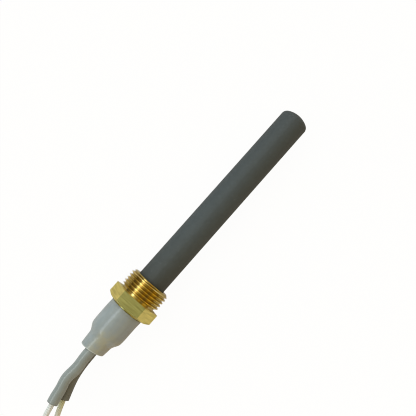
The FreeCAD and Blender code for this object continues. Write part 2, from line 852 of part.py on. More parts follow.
def build_tail(side, tail, frame):
    """Free tail, with a round cap on its braid; returns where it ends and its heading."""
    first = tail.FirstParameter
    total = tail.length(first, tail.LastParameter)
    bare = along(tail, first, total - SIZES["ferrule_length"])
    braid_bore = along(tail, first, SIZES["tail_bore_start"])
    core_start = along(tail, first, SIZES["tail_core_start"])

    cap = doc.addObject("Part::Sphere", "cap_" + side)
    bind(cap, "Radius", "braid_radius")
    cap.Placement = Placement(frame.Base, Rotation())
    rope = bar("tail_%s_out" % side, tail, first, bare, "braid_radius", frame)
    rope = boolean("Fuse", "tail_%s_outer" % side, rope, cap)
    hollow = bar("tail_%s_in" % side, tail, braid_bore, bare, "braid_inner", frame)
    part(boolean("Cut", "tail_%s_cut" % side, rope, hollow), "lead_%s_tail_braid" % side)

    insulation = hose("tail_ins_" + side, tail, core_start, bare,
                      "insulation_radius", "insulation_inner", frame)
    part(insulation, "lead_%s_tail_insulation" % side)

    # The conductor runs on straight into the ferrule.
    end = frame.multVec(tail.value(bare))
    out = frame.Rotation.multVec(tangent(tail, bare))
    swept = bar("tail_cond_" + side, tail, core_start, bare, "conductor_radius", frame)
    straight = cylinder("bare_" + side, "conductor_radius", "ferrule_length - bare_short",
                        Placement(end, Rotation(Vector(0, 0, 1), out)))
    core = boolean("Fuse", "tail_%s_core" % side, swept, straight)
    part(core, "lead_%s_tail_conductor" % side)
    return end, out


def build_ferrule(side, end, out):
    """Bootlace ferrule on the bare end: metal tube and insulating collar."""
    heading = Rotation(Vector(0, 0, 1), out)
    name = "ferrule_%s_" % side
    spot = Placement(end + out * SIZES["ferrule_gap"], heading)
    tube = cylinder(name + "out", "ferrule_radius", "ferrule_length", spot)
    hole = cylinder(name + "in", "ferrule_inner", "ferrule_length", spot)
    flare = cylinder(name + "flare", "ferrule_flare",
                     "ferrule_length - ferrule_pin - flare_short", spot)
    shell = boolean("Fuse", name + "shell", tube, flare)
    part(boolean("Cut", name + "cut", shell, hole), "ferrule_" + side)

    # The collar is wide over the braid and narrow round the flare.
    name = "collar_%s_" % side
    spot = Placement(end - out * SIZES["collar_back"], heading)
    outside = cylinder(name + "out", "collar_radius",
                       "ferrule_length - ferrule_pin - collar_short + collar_back", spot)
    wide = cylinder(name + "wide", "collar_inner", "collar_back + collar_step", spot)
    tight = cylinder(name + "tight", "ferrule_flare + collar_clearance",
                     "ferrule_length - ferrule_pin + collar_back", spot)
    hollow = boolean("Fuse", name + "hollow", wide, tight)
    part(boolean("Cut", name + "cut", outside, hollow), "ferrule_collar_" + side)


def build_lead(side):
    level = Vector(0, 0, work_out(LEG_HEIGHT[side]))
    line = smooth_line(PATHS[side])
    mouth = at_station(line, SLEEVE_MOUTH[side])
    build_splice_and_stub(side, line, mouth, Placement(level, Rotation()))
    # The tail is drawn from its own flex point and swung to the lead's heading.
    flex = along(line, mouth, SIZES["mouth_to_flex"])
    swing = Rotation(Vector(-1, 0, 0), tangent(line, flex))
    frame = Placement(line.value(flex) + level, swing)
    end, out = build_tail(side, smooth_line(TAILS[side]), frame)
    build_ferrule(side, end, out)


# ----------------------------------------------------------- build and export
build_sheath()
build_fitting()
build_cement()
build_fillings()
for side in LEG_HEIGHT:
    build_pin(side)
    build_coil(side)
build_bridge()
build_boot()
for side in LEG_HEIGHT:
    build_lead(side)

doc.recompute()
bad = [o.Name for o in doc.Objects if "Invalid" in o.State or "Error" in o.State]
if bad:
    raise SystemExit("objects in error: %s" % bad)
for label, obj in PARTS.items():
    shape = obj.Shape
    if shape.isNull() or not shape.isValid() or len(shape.Solids) != 1:
        raise SystemExit("%s: not one valid solid" % label)
    shape.exportStep("parts/%s.step" % label)
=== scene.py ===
"""Cartridge-style ceramic probe with a brass fitting and two braided leads.

The probe lies along X with +Z up: the ceramic rod runs towards +X, and the boot, sleeves
and leads run towards -X, the leads curving towards -Y. Lead a lies above lead b.
"""
import math
from dataclasses import dataclass
from functools import cached_property

import bmesh
import bpy
import numpy as np
from mathutils import Matrix


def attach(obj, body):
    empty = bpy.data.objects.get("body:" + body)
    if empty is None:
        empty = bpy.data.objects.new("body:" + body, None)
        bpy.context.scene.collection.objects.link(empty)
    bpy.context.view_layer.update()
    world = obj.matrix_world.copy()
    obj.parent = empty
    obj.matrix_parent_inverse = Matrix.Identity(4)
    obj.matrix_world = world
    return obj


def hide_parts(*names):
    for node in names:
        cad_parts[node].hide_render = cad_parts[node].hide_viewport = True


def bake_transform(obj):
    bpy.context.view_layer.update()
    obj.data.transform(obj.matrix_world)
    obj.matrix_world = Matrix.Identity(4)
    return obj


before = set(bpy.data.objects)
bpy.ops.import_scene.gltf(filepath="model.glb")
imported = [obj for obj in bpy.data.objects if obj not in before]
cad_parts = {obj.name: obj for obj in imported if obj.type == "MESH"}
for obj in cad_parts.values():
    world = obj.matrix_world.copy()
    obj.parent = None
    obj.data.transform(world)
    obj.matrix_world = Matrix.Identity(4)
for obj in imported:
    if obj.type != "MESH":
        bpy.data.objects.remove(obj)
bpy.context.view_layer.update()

MM = 0.001

# Lead centre lines seen from above, (x, y), from inside the boot to the ferrule
PATH_A = [
    (-14.100, 0.000), (-15.286, -0.000), (-16.472, -0.001), (-17.657, -0.000), (-18.843, 0.001),
    (-20.029, 0.002), (-21.215, -0.001), (-22.401, -0.007), (-23.586, 0.000), (-24.771, 0.038),
    (-25.956, 0.094), (-27.141, 0.120), (-28.326, 0.075), (-29.508, -0.026), (-30.686, -0.153),
    (-31.867, -0.261), (-33.052, -0.297), (-34.237, -0.245), (-35.417, -0.127), (-36.596, -0.003),
    (-37.780, 0.022), (-38.957, -0.117), (-40.110, -0.391), (-41.250, -0.719), (-42.402, -0.998),
    (-43.568, -1.218), (-44.736, -1.421), (-45.900, -1.647), (-47.057, -1.905), (-48.207, -2.194),
    (-49.350, -2.512), (-50.799, -2.820), (-52.239, -3.174), (-53.667, -3.572), (-55.082, -4.010),
    (-56.486, -4.487), (-57.877, -4.999), (-59.255, -5.545), (-60.621, -6.120), (-61.975, -6.722),
    (-63.319, -7.349), (-64.652, -7.996), (-65.977, -8.661), (-67.296, -9.337), (-68.610, -10.023),
    (-69.922, -10.712), (-71.234, -11.403), (-72.547, -12.091), (-73.864, -12.771),
    (-75.186, -13.441), (-76.516, -14.095), (-77.855, -14.731), (-79.204, -15.346),
    (-80.561, -15.941), (-81.927, -16.517), (-83.300, -17.075), (-84.680, -17.615),
    (-86.067, -18.139), (-87.459, -18.648), (-88.857, -19.141), (-90.259, -19.621),
    (-91.666, -20.087), (-93.077, -20.542), (-94.492, -20.983),
]
PATH_B = [
    (-14.100, 0.000), (-15.290, -0.000), (-16.480, -0.001), (-17.670, -0.001), (-18.860, 0.003),
    (-20.050, 0.005), (-21.240, -0.003), (-22.430, -0.031), (-23.618, -0.099), (-24.802, -0.217),
    (-25.986, -0.335), (-27.174, -0.396), (-28.364, -0.417), (-29.554, -0.433), (-30.743, -0.471),
    (-31.930, -0.555), (-33.112, -0.694), (-34.289, -0.873), (-35.461, -1.077), (-36.629, -1.304),
    (-37.791, -1.559), (-38.946, -1.849), (-40.091, -2.173), (-41.227, -2.528), (-42.353, -2.910),
    (-43.472, -3.316), (-44.585, -3.737), (-45.696, -4.164), (-46.806, -4.592), (-48.232, -5.120),
    (-49.645, -5.680), (-51.045, -6.270), (-52.433, -6.890), (-53.808, -7.538), (-55.170, -8.213),
    (-56.519, -8.913), (-57.855, -9.636), (-59.179, -10.383), (-60.491, -11.150),
    (-61.792, -11.936), (-63.081, -12.741), (-64.360, -13.562), (-65.629, -14.399),
    (-66.889, -15.249), (-68.141, -16.111), (-69.385, -16.984), (-70.622, -17.867),
    (-71.853, -18.758), (-73.080, -19.656), (-74.301, -20.560), (-75.519, -21.469),
    (-76.734, -22.383), (-77.946, -23.300), (-79.156, -24.219), (-80.365, -25.141),
    (-81.572, -26.064), (-82.779, -26.988), (-83.986, -27.912), (-85.194, -28.834),
    (-86.403, -29.756), (-87.614, -30.674), (-88.827, -31.590),
]


# ---------------------------------------------------------------- curves and noise
def spline(stations, points):
    """Natural cubic spline through points, straight beyond the ends."""
    count = len(stations)
    gaps = np.diff(stations)
    system = np.zeros((count, count))
    right = np.zeros((count, points.shape[1]))
    system[0, 0] = system[-1, -1] = 1.0
    for i in range(1, count - 1):
        system[i, i - 1 : i + 2] = gaps[i - 1], 2 * (gaps[i - 1] + gaps[i]), gaps[i]
        slope_after = (points[i + 1] - points[i]) / gaps[i]
        slope_before = (points[i] - points[i - 1]) / gaps[i - 1]
        right[i] = 6 * (slope_after - slope_before)
    bend = np.linalg.solve(system, right)
    first_slope = (points[1] - points[0]) / gaps[0] - gaps[0] * (2 * bend[0] + bend[1]) / 6
    last_slope = (points[-1] - points[-2]) / gaps[-1] + gaps[-1] * (bend[-2] + 2 * bend[-1]) / 6

    def value(at):
        at = np.atleast_1d(np.asarray(at, float))
        i = np.clip(np.searchsorted(stations, at) - 1, 0, count - 2)
        held = np.clip(at, stations[0], stations[-1])
        past = (held - stations[i])[:, None]
        left = (stations[i + 1] - held)[:, None]
        gap = gaps[i][:, None]
        result = (bend[i] * left**3 + bend[i + 1] * past**3) / (6 * gap)
        # Each end's share of the straight part is weighted by the distance to the other end
        result += (points[i + 1] / gap - bend[i + 1] * gap / 6) * past
        result += (points[i] / gap - bend[i] * gap / 6) * left
        before = np.minimum(at - stations[0], 0)[:, None]
        after = np.maximum(at - stations[-1], 0)[:, None]
        return result + before * first_slope + after * last_slope

    return value


def monotone(table):
    """Monotone cubic through (position, value) rows, held constant beyond the ends."""
    xs, ys = np.array(sorted(table)).T
    gaps = np.diff(xs)
    rises = np.diff(ys) / gaps
    slopes = np.zeros(len(xs))
    for i in range(1, len(xs) - 1):
        if rises[i - 1] * rises[i] > 0:
            before = 2 * gaps[i] + gaps[i - 1]
            after = gaps[i] + 2 * gaps[i - 1]
            slopes[i] = (before + after) / (before / rises[i - 1] + after / rises[i])
    slopes[0], slopes[-1] = rises[0], rises[-1]

    def value(at):
        at = np.clip(at, xs[0], xs[-1])
        i = np.clip(np.searchsorted(xs, at) - 1, 0, len(xs) - 2)
        t = (at - xs[i]) / gaps[i]
        return (
            (1 + 2 * t) * (1 - t) ** 2 * ys[i]
            + t * (1 - t) ** 2 * gaps[i] * slopes[i]
            + t * t * (3 - 2 * t) * ys[i + 1]
            + t * t * (t - 1) * gaps[i] * slopes[i + 1]
        )

    return value


def waves(seed, count, reach):
    """Smooth noise of (position along, angle round), about +-1; the angle is periodic."""
    random = np.random.default_rng(seed)
    lobes = random.integers(0, 6, count)
    rates = random.uniform(0.15, 1.0, count) / reach
    phases = random.uniform(0, 2 * math.pi, (2, count))
    weights = random.uniform(0.4, 1.0, count)
    weights = weights / weights.sum()
    gain = 2.2

    def value(along, angle):
        total = 0.0
        for i in range(count):
            around = np.cos(lobes[i] * angle + phases[0, i])
            total = total + weights[i] * around * np.cos(
                2 * math.pi * rates[i] * along + phases[1, i]
            )
        return total * gain

    return value


def circle(count):
    return np.linspace(0, 2 * math.pi, count, endpoint=False)


def half_turn(margin, count):
    """Angles over a rounded edge, stopping short of both walls by margin."""
    return np.linspace(margin, math.pi - margin, count)


# ---------------------------------------------------------------- meshes
def build(name, points, faces, uv=None, smooth=True):
    """Mesh object from millimetre points."""
    mesh = bpy.data.meshes.new(name)
    mesh.from_pydata([tuple(p) for p in np.asarray(points, float) * MM], [], faces)
    mesh.update()
    if uv is not None:
        layer = mesh.uv_layers.new(name="UVMap")
        corners = np.zeros(len(mesh.loops), np.int32)
        mesh.loops.foreach_get("vertex_index", corners)
        layer.data.foreach_set("uv", np.asarray(uv, np.float32)[corners].ravel())
    mesh.polygons.foreach_set("use_smooth", [smooth] * len(mesh.polygons))
    piece = bpy.data.objects.new(name, mesh)
    bpy.context.scene.collection.objects.link(piece)
    return piece


class Surfaces:
    """Collects closed surfaces, each a stack of rings, into one mesh."""

    def __init__(self):
        self.points, self.faces, self.uv, self.count = [], [], [], 0

    def add(self, rings, uv=None, looped=False):
        """Adds rings (rows, columns, 3): capped at both ends, or looped back to the first."""
        rows, columns, _ = rings.shape
        faces = []
        for i in range(rows if looped else rows - 1):
            here, there = i * columns, ((i + 1) % rows) * columns
            for j in range(columns):
                k = (j + 1) % columns
                faces.append((here + j, here + k, there + k, there + j))
        total = rows * columns
        if not looped:
            faces += [tuple(range(columns))[::-1], tuple(range(total - columns, total))]
        self.faces += [tuple(i + self.count for i in face) for face in faces]
        self.points.append(rings.reshape(-1, 3))
        self.uv.append(np.zeros((total, 2)) if uv is None else uv.reshape(-1, 2))
        self.count += total

    def build(self, name):
        """Makes the object, with all faces turned outwards."""
        piece = build(name, np.concatenate(self.points), self.faces, np.concatenate(self.uv))
        edit = bmesh.new()
        edit.from_mesh(piece.data)
        bmesh.ops.recalc_face_normals(edit, faces=edit.faces)
        edit.to_mesh(piece.data)
        edit.free()
        piece.data.update()
        return piece


def looped_piece(name, rings, uv=None):
    surfaces = Surfaces()
    surfaces.add(rings, uv, looped=True)
    return surfaces.build(name)


def sweep(centres, sides, ups, across, height):
    """Rings around centres; across and height are offsets along sides and ups."""
    return (
        centres[:, None, :]
        + across[..., None] * sides[:, None, :]
        + height[..., None] * ups[:, None, :]
    )


def unroll(along, around):
    """UVs in millimetres: one row of around for each place along."""
    return np.stack(np.broadcast_arrays(along[:, None], around), -1)


# ---------------------------------------------------------------- boot
# (x, outer radius)
BOOT_RADIUS = monotone([
    (-5.65, 6.90), (-9.0, 6.89), (-14.2, 6.88), (-15.75, 6.81), (-16.75, 6.70),
    (-17.45, 6.49), (-18.25, 6.02), (-19.05, 5.54), (-19.85, 5.17), (-20.65, 5.02),
    (-21.35, 4.96), (-22.85, 4.84), (-24.25, 4.70), (-25.85, 4.56),
])
# (x, wall thickness)
BOOT_WALL = monotone([(-27.0, 0.36), (-21.35, 0.40), (-18.35, 0.42), (-14.2, 0.42), (-5.0, 0.42)])
# Ring places: (first x, last x, count)
BOOT_OUTSIDE = [(-5.95, -14.3, 14), (-14.7, -21.75, 34), (-22.05, -24.52, 10)]
BOOT_INSIDE = [(-24.50, -22.05, 8), (-21.75, -14.7, 26), (-14.3, -6.0, 10)]
BOOT_MOUTH = -24.55
BOOT_MOUTH_WALL = 0.36
BOOT_BORE = 6.345  # least inner radius on the +X side of BOOT_BORE_END
BOOT_BORE_END = -15.95
BOOT_EDGE = (-5.88, 6.62)  # (x, radius) at the middle of the rounded +X edge
MOUTH_SLANT = (0.14, 0.03)  # shift towards -X for each mm of y and of z
BOOT_WAVES = waves(seed=3, count=14, reach=9.0)
BOOT_ANGLES = circle(96)


def boot_ring(x, radius, wavy=False):
    """One ring of the boot, slanted more and more towards the mouth."""
    y, z = radius * np.cos(BOOT_ANGLES), radius * np.sin(BOOT_ANGLES)
    slant = np.clip((-x - 18.85) / 5.7, 0, 1)
    slanted_x = x - (MOUTH_SLANT[0] * y + MOUTH_SLANT[1] * z) * slant * slant
    if wavy:
        onset = min(1.0, max(0.0, (-x - 6.5) / 3.0))
        radius = radius + 0.022 * BOOT_WAVES(x, BOOT_ANGLES) * onset
        y, z = radius * np.cos(BOOT_ANGLES), radius * np.sin(BOOT_ANGLES)
    offset = 0.12 * np.clip((-x - 5.5) / 3.0, 0, 1)
    return np.c_[slanted_x, y + offset, z]


def boot():
    """Necked-down tube with a wall, its rings going out, round the mouth and back inside."""
    rings = []
    for x in np.concatenate([np.linspace(*run) for run in BOOT_OUTSIDE]):
        rings.append(boot_ring(x, float(BOOT_RADIUS(x)), wavy=True))
    half_wall = BOOT_MOUTH_WALL / 2
    middle = float(BOOT_RADIUS(BOOT_MOUTH)) - half_wall
    for a in half_turn(margin=0.2, count=8):
        radius = middle + (half_wall + 0.01) * math.cos(a)
        rings.append(boot_ring(BOOT_MOUTH - 0.16 * math.sin(a), radius))
    for x in np.concatenate([np.linspace(*run) for run in BOOT_INSIDE]):
        radius = float(BOOT_RADIUS(x)) - float(BOOT_WALL(x))
        if x > BOOT_BORE_END:
            radius = max(radius, BOOT_BORE)
        rings.append(boot_ring(x, radius))
    x, radius = BOOT_EDGE
    for a in half_turn(margin=0.25, count=7):
        rings.append(boot_ring(x + 0.2 * math.sin(a), radius - 0.26 * math.cos(a)))
    piece = looped_piece("boot_shell", np.array(rings))
    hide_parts("boot")
    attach(piece, "probe")


# ---------------------------------------------------------------- leads
FLEX_PAST_MOUTH = 1.4  # middle of the bend, past the sleeve's mouth


@dataclass
class Lead:
    """A lead in its level plane; places along it are arc lengths from its +X end."""

    side: str
    path: list
    level: float  # z of the centre line
    mouth: float  # where the splice sleeve ends
    end: float  # where the path ends, at the ferrule
    seed: int
    flat_phase: float  # phases of the sleeve's flattening and of its oblique cut
    cut_phase: float
    jacket_inside: float  # length of jacket inside the sleeve
    core_start: float

    def __post_init__(self):
        points = np.array(self.path, float)
        lengths = np.r_[0, np.cumsum(np.hypot(*np.diff(points, axis=0).T))]
        self.curve = spline(lengths * (self.end / lengths[-1]), points)
        self.tail = f"lead_{self.side}_tail"
        self.cover_start = self.mouth - 8.0
        self.cover_end = self.end - 0.10

    def frames(self, along):
        """Centres, directions towards the ferrule, level side directions and up directions."""
        along = np.atleast_1d(np.asarray(along, float))
        count = len(along)
        ahead = self.curve(along + 0.02) - self.curve(along - 0.02)
        ahead = ahead / np.linalg.norm(ahead, axis=1)[:, None]
        centres = np.c_[self.curve(along), np.full(count, self.level)]
        sides = np.c_[-ahead[:, 1], ahead[:, 0], np.zeros(count)]
        ups = np.tile([0.0, 0.0, 1.0], (count, 1))
        return centres, np.c_[ahead, np.zeros(count)], sides, ups

    def flex(self, piece):
        """Bakes the piece's placement into its mesh; the lead's frame just past the sleeve is
        found but not used.
        """
        centres, ahead, _, _ = self.frames(self.mouth + FLEX_PAST_MOUTH)
        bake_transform(piece)


LEADS = [
    Lead(
        side="a", path=PATH_A, level=2.05, mouth=34.174, end=84.489, seed=11,
        flat_phase=0, cut_phase=0.6, jacket_inside=26.0, core_start=6.3,
    ),
    Lead(
        side="b", path=PATH_B, level=-2.05, mouth=31.921, end=83.478, seed=23,
        flat_phase=1.7, cut_phase=2.4, jacket_inside=22.0, core_start=6.2,
    ),
]

SLEEVE_OUTER, SLEEVE_INNER = 2.10, 1.565
SLEEVE_EDGE = 1.83  # radius at the middle of the rounded ends


def sleeve(lead):
    """Open splice sleeve with a wall, a little uneven along its length."""
    mouth = lead.mouth
    outside = np.linspace(0.15, mouth - 0.10, int(mouth / 0.35))
    # (place along, radius)
    profile = [(s, SLEEVE_OUTER) for s in outside]
    profile += [
        (mouth - 0.16 + 0.16 * math.sin(a), SLEEVE_EDGE + 0.265 * math.cos(a))
        for a in half_turn(margin=0.3, count=7)
    ]
    profile += [(s, SLEEVE_INNER) for s in outside[::-1]]
    profile += [
        (0.12 - 0.1 * math.sin(a), SLEEVE_EDGE - 0.26 * math.cos(a))
        for a in half_turn(margin=0.3, count=5)
    ]
    along, radius = np.array(profile).T
    angles = circle(64)
    centres, ahead, sides, ups = lead.frames(along)
    onset = np.clip((along - 12.5) / 3.0, 0, 1)  # true and round inside the boot
    uneven = waves(lead.seed, count=10, reach=12.0)(along[:, None], angles[None, :])
    radius = radius[:, None] + (0.007 * uneven - 0.002) * onset[:, None]
    flat = (0.020 * np.sin(0.55 * along + lead.flat_phase) * onset)[:, None]
    across = radius * np.cos(angles) * (1 - flat)
    height = radius * np.sin(angles) * (1 + flat * 0.6)
    # The cut end is not quite square, over its last 1.2 mm
    near_cut = np.clip((along - (mouth - 1.2)) / 1.2, 0, 1)[:, None]
    oblique = near_cut * 0.10 * np.cos(angles + lead.cut_phase)
    rings = sweep(centres, sides, ups, across, height) + oblique[..., None] * ahead[:, None, :]
    piece = looped_piece(f"sleeve_{lead.side}_shell", rings, unroll(along, angles * 2.0))
    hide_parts("splice_sleeve_" + lead.side)
    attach(piece, "probe")


def round_rod(lead, start, end, step, radius, columns, fullness=None):
    """Rings and UVs of a round rod along the lead."""
    along = np.linspace(start, end, int((end - start) / step))
    angles = circle(columns)
    centres, _, sides, ups = lead.frames(along)
    radii = np.full(len(along), radius)
    if fullness:
        radii = radii * fullness(along)
    radii = radii[:, None]
    rings = sweep(centres, sides, ups, radii * np.cos(angles), radii * np.sin(angles))
    return rings, unroll(along, radius * angles)


BRAID_LINER_RADIUS = 0.815
BRAID_RADIUS = 0.868
BRAID_WEAVE = 0.026  # how far a strand rises and dips
BRAID_LAY = 6.2  # length of one full turn
BRAID_STRANDS = 8  # in each direction
# Strand section: (across, outwards)
BRAID_STRAND = np.array([
    (-0.235, -0.012), (-0.15, 0.030), (0.0, 0.046), (0.15, 0.030), (0.235, -0.012), (0.0, -0.034),
])


def braid_strand(lead, along, frames, fullness, jitter, hand, number):
    """Rings and UVs of one strand; hand is +1 or -1 for the way it winds."""
    centres, ahead, sides, ups = frames
    turn = 2 * math.pi * (along / BRAID_LAY * hand + number / BRAID_STRANDS)
    turn = turn + 0.05 * jitter(along, 1.3 * number + hand)
    weave = np.cos(2 * math.pi * BRAID_STRANDS * along / BRAID_LAY)
    radius = (BRAID_RADIUS + hand * BRAID_WEAVE * weave) * fullness(along)
    cosine, sine = np.cos(turn)[:, None], np.sin(turn)[:, None]
    outwards = cosine * sides + sine * ups
    around = -sine * sides + cosine * ups
    slope = 2 * math.pi * BRAID_RADIUS / BRAID_LAY * hand
    stretch = math.hypot(1, slope)
    across = np.cross(outwards, (ahead + slope * around) / stretch)
    width = 1.0 + 0.10 * jitter(along * 1.7, 2.1 * number - hand)
    rings = sweep(
        centres + radius[:, None] * outwards, across, outwards,
        BRAID_STRAND[:, 0] * width[:, None], BRAID_STRAND[:, 1],
    )
    # Each strand has its own stretch of the texture
    uv = unroll(
        along * stretch + 7.3 * number,
        BRAID_STRAND[:, 0] + 0.9 * number + 11 * (hand + 1),
    )
    return rings, uv


def cover(lead):
    """Braid of two opposed sets of strands over a closed liner."""
    start, end = lead.cover_start, lead.cover_end

    def fullness(along):
        """The braid lies a little fuller away from the ferrule."""
        return 1.0 + 0.09 * np.clip((end - 3.0 - along) / 5.0, 0, 1)

    surfaces = Surfaces()
    surfaces.add(*round_rod(
        lead, start, end, step=0.6, radius=BRAID_LINER_RADIUS, columns=24, fullness=fullness
    ))
    along = np.arange(start, end, 0.155)
    frames = lead.frames(along)
    jitter = waves(lead.seed + 5, count=8, reach=5.0)
    for hand in (1, -1):
        for number in range(BRAID_STRANDS):
            surfaces.add(*braid_strand(lead, along, frames, fullness, jitter, hand, number))
    piece = surfaces.build(f"lead_{lead.side}_cover")
    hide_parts(f"lead_{lead.side}_braid", f"lead_{lead.side}_tail_braid")
    lead.flex(piece)


def jacket(lead):
    surfaces = Surfaces()
    surfaces.add(*round_rod(
        lead, lead.mouth - lead.jacket_inside, lead.cover_end - 0.05,
        step=0.5, radius=0.70, columns=28,
    ))
    piece = surfaces.build(f"lead_{lead.side}_jacket")
    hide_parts(f"lead_{lead.side}_insulation", f"lead_{lead.side}_tail_insulation")
    lead.flex(piece)


CORE_STRAND_RADIUS = 0.142
CORE_STRAND_OFFSET = 0.288  # of the outer strands from the middle one
CORE_OUTER_STRANDS = 6
CORE_LAY = 11.0
CORE_PAST_END = 13.25  # reach into the ferrule


def core(lead):
    """Tinned core: six strands twisted round a seventh, from the crimp into the ferrule."""
    surfaces = Surfaces()
    along = np.arange(lead.core_start, lead.end + CORE_PAST_END, 0.45)
    centres, _, sides, ups = lead.frames(along)
    angles = circle(9)
    across, height = CORE_STRAND_RADIUS * np.cos(angles), CORE_STRAND_RADIUS * np.sin(angles)
    for i in range(CORE_OUTER_STRANDS + 1):
        offset, phase = CORE_STRAND_OFFSET, 2 * math.pi * i / CORE_OUTER_STRANDS
        if i == CORE_OUTER_STRANDS:
            offset, phase = 0.0, 0.0
        twist = (2 * math.pi * along / CORE_LAY + phase)[:, None]
        middle = centres + offset * (np.cos(twist) * sides + np.sin(twist) * ups)
        rings = sweep(middle, sides, ups, across, height)
        surfaces.add(rings, unroll(along + 3.1 * i, CORE_STRAND_RADIUS * angles))
    piece = surfaces.build(f"lead_{lead.side}_core")
    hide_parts(f"lead_{lead.side}_conductor", f"lead_{lead.side}_tail_conductor")
    lead.flex(piece)


# Profiles are (distance past the lead's end, radius), out along the outside and back inside
BARREL = np.arange(5.8, 13.45, 0.15)
FERRULE_PROFILE = [
    (0.12, 0.80), (0.07, 0.825), (0.14, 0.84), (1.0, 0.838), (3.0, 0.838), (4.8, 0.838),
    (5.2, 0.80), (5.45, 0.70), (5.6, 0.655),
    *[(x, 0.645) for x in BARREL],
    (13.5, 0.635), (13.545, 0.60), (13.545, 0.55), (13.5, 0.52),
    *[(x, 0.56 if x > 5.9 else 0.60) for x in BARREL[::-1]],
    (5.5, 0.62), (5.2, 0.72), (4.8, 0.78), (2.5, 0.78),
]
COLLAR_PROFILE = [
    (-1.9, 1.02), (-2.0, 1.10), (-1.98, 1.25), (-1.85, 1.33), (-1.6, 1.345), (-0.8, 1.345),
    (0.0, 1.345), (0.8, 1.345), (1.6, 1.345), (2.2, 1.32), (3.0, 1.24), (3.8, 1.16),
    (4.6, 1.10), (5.15, 1.07), (5.35, 1.04), (5.43, 0.98), (5.40, 0.92), (5.2, 0.88),
    (3.0, 0.88), (1.0, 0.88), (0.3, 0.90), (-0.2, 0.96), (-1.0, 0.975),
]
PRESS_START, PRESS_END, PRESS_PITCH = 6.6, 12.6, 1.2


def turned(lead, name, profile, pressed=False):
    """Turned ring at the lead's end; pressed flattens its barrel in a row of dents."""
    past, radius = np.array(profile).T
    centres, ahead, sides, ups = lead.frames(np.full(len(past), lead.end))
    squeeze = np.ones(len(past))
    if pressed:
        dent = 0.5 - 0.5 * np.cos(2 * math.pi * (past - PRESS_START) / PRESS_PITCH)
        inside = (PRESS_START < past) & (past < PRESS_END)
        squeeze = np.where(inside, 1.0 - 0.10 * dent - 0.05, 1.0)
    angles = circle(40)
    across = radius[:, None] * np.cos(angles)
    height = (radius * squeeze)[:, None] * np.sin(angles)
    centres = centres + ahead * past[:, None]
    return looped_piece(name, sweep(centres, sides, ups, across, height))


def ferrule(lead):
    piece = turned(lead, f"ferrule_{lead.side}_tube", FERRULE_PROFILE, pressed=True)
    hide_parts("ferrule_" + lead.side)
    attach(piece, lead.tail)


def collar(lead):
    piece = turned(lead, f"collar_{lead.side}_sleeve", COLLAR_PROFILE)
    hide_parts("ferrule_collar_" + lead.side)
    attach(piece, lead.tail)


# ---------------------------------------------------------------- shader graphs
def paint(colour):
    return colour if isinstance(colour, bpy.types.NodeSocket) else (*colour, 1.0)


class Graph:
    """Node tree of a material or world, emptied first."""

    def __init__(self, owner):
        owner.use_nodes = True
        self.tree = owner.node_tree
        self.tree.nodes.clear()

    def put(self, value, socket):
        if isinstance(value, bpy.types.NodeSocket):
            self.tree.links.new(value, socket)
        else:
            socket.default_value = value

    def node(self, kind, inputs=None, **settings):
        """New node; inputs maps socket names or numbers to values or linked sockets."""
        node = self.tree.nodes.new(kind)
        for name, value in settings.items():
            setattr(node, name, value)
        for key, value in (inputs or {}).items():
            self.put(value, node.inputs[key])
        return node

    def remap(self, value, over, to=(0.0, 1.0), smooth=False):
        """Takes the range over to the range to, clamped."""
        shape = "SMOOTHSTEP" if smooth else "LINEAR"
        inputs = {0: value, 1: over[0], 2: over[1], 3: to[0], 4: to[1]}
        return self.node("ShaderNodeMapRange", inputs, interpolation_type=shape).outputs[0]

    def mix(self, factor, low, high):
        """Colour: low where factor is 0, high where it is 1."""
        inputs = {0: factor, 6: paint(low), 7: paint(high)}
        return self.node("ShaderNodeMix", inputs, data_type="RGBA").outputs[2]


